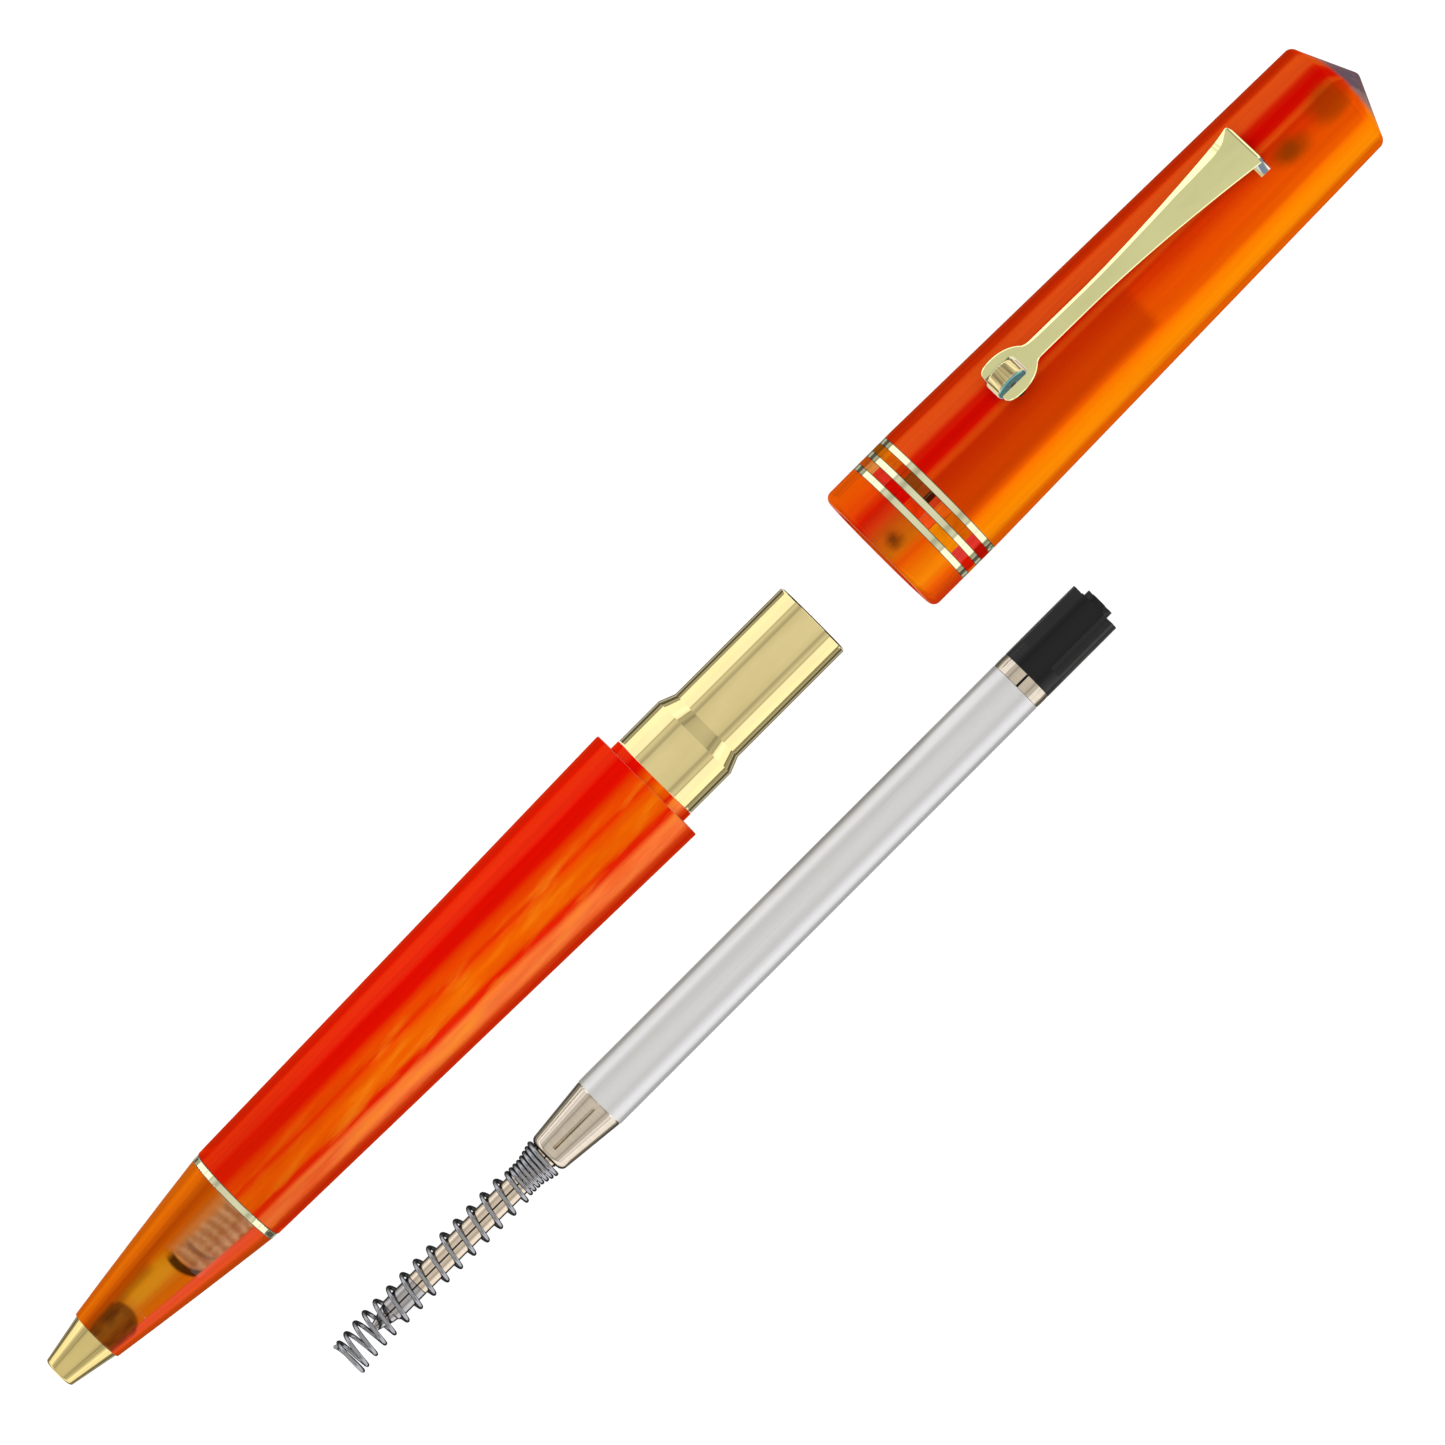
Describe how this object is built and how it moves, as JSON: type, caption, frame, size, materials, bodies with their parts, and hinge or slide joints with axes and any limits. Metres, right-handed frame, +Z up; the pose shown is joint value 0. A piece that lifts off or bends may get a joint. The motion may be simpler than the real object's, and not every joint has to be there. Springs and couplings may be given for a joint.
{
  "type": "retractable ballpoint pen",
  "caption": "Twist-action ballpoint pen in streaked orange acrylic with gilt fittings and a roller clip, laid out with its cap drawn off and its refill and spring beside it.",
  "frame": {"origin": "centre of the laid-out part's bounding box, on the surface it lies on", "axes": "+X along the pen from the writing end to the cap's finial, +Z up from the surface"},
  "size_m": [0.1742, 0.0284, 0.0178],
  "materials": {
    "gilt": "polished gilt plating",
    "brass_tube": "polished brass",
    "amber_acrylic": "polished translucent acrylic",
    "orange_acrylic": "polished streaked acrylic",
    "mosaic_acrylic": "polished acrylic segments",
    "dark_acrylic": "polished acrylic",
    "steel": "bright steel",
    "nickel": "satin nickel plating",
    "tan_metal": "satin nickel silver",
    "refill_metal": "satin steel",
    "black_plastic": "moulded, slightly glossy",
    "white_plastic": "moulded acetal",
    "ink": "ink paste",
    "tungsten": "ground ball"
  },
  "bodies": {
    "pen_barrel": {"barrel": "orange_acrylic", "barrel_liner": "brass_tube", "coupler": "nickel", "collar": "dark_acrylic", "stator_tube": "brass_tube"},
    "trim_ring": {"trim_ring": "gilt"},
    "nose": {"nose_section": "amber_acrylic", "nose_tip": "gilt"},
    "mechanism": {"mechanism_shell": "brass_tube", "cam_sleeve": "white_plastic", "retaining_ring": "brass_tube", "thrust_washer": "white_plastic", "shell_end_plug": "black_plastic"},
    "carriage": {"refill_carriage": "white_plastic", "drive_pin": "steel"},
    "refill": {"refill_tube": "refill_metal", "refill_shoulder": "nickel", "tip_tube": "tan_metal", "writing_point": "nickel", "refill_band": "gilt", "refill_plug": "black_plastic", "ink_column": "ink", "spring": "steel"},
    "point_ball": {"point_ball": "tungsten"},
    "cap": {"cap_tube": "orange_acrylic", "cap_lip": "orange_acrylic", "cap_ring_1": "gilt", "cap_ring_2": "gilt", "cap_ring_3": "gilt", "mosaic_band_1": "mosaic_acrylic", "mosaic_band_2": "mosaic_acrylic", "cap_liner": "brass_tube", "clip_anchor": "brass_tube", "finial": "dark_acrylic", "finial_screw": "steel"},
    "clip": {"clip": "gilt", "clip_axle": "steel"},
    "clip_roller": {"clip_roller": "gilt"}
  },
  "joints": [
    {"name": "twist", "type": "hinge", "parent": "pen_barrel", "child": "mechanism", "pos_m": [0.00287, 0.00685, 0.00735], "axis": [-1, 0, 0], "range_deg": [0, 180]},
    {"name": "carriage_feed", "type": "slide", "parent": "pen_barrel", "child": "carriage", "axis": [-1, 0, 0], "range_m": [0, 0.0046]},
    {"name": "refill_feed", "type": "slide", "parent": "pen_barrel", "child": "refill", "axis": [-1, 0, 0], "range_m": [0, 0.0046], "deforming": ["spring"]},
    {"name": "point_roll", "type": "hinge", "parent": "refill", "child": "point_ball", "pos_m": [-0.06313, -0.01134, 0.00286], "axis": [0, 1, 0], "continuous": true},
    {"name": "cap_pull", "type": "slide", "parent": "mechanism", "child": "cap", "axis": [1, 0, 0], "range_m": [-0.031, 0]},
    {"name": "clip_flex", "type": "hinge", "parent": "cap", "child": "clip", "pos_m": [0.07377, 0.0088, 0.01271], "axis": [0, 0.9397, -0.342], "range_deg": [0, 3.5], "stiffness_Nm_per_rad": 0.8, "springref_deg": -2.86},
    {"name": "roller_spin", "type": "hinge", "parent": "clip", "child": "clip_roller", "pos_m": [0.04267, 0.00995, 0.01585], "axis": [0, 0.9397, -0.342], "continuous": true},
    {"name": "nose_advance", "type": "slide", "parent": "pen_barrel", "child": "trim_ring", "axis": [-1, 0, 0], "range_m": [0, 0.006]},
    {"name": "nose_unscrew", "type": "hinge", "parent": "trim_ring", "child": "nose", "pos_m": [-0.07212, 0.00685, 0.00735], "axis": [-1, 0, 0], "range_deg": [0, 2160]}
  ],
  "couplings": [
    {"joint": "twist", "follows": "carriage_feed", "rad_per_m": 682.95},
    {"joint": "refill_feed", "follows": "carriage_feed", "ratio": 1},
    {"joint": "nose_unscrew", "follows": "nose_advance", "rad_per_m": 6283.2}
  ]
}
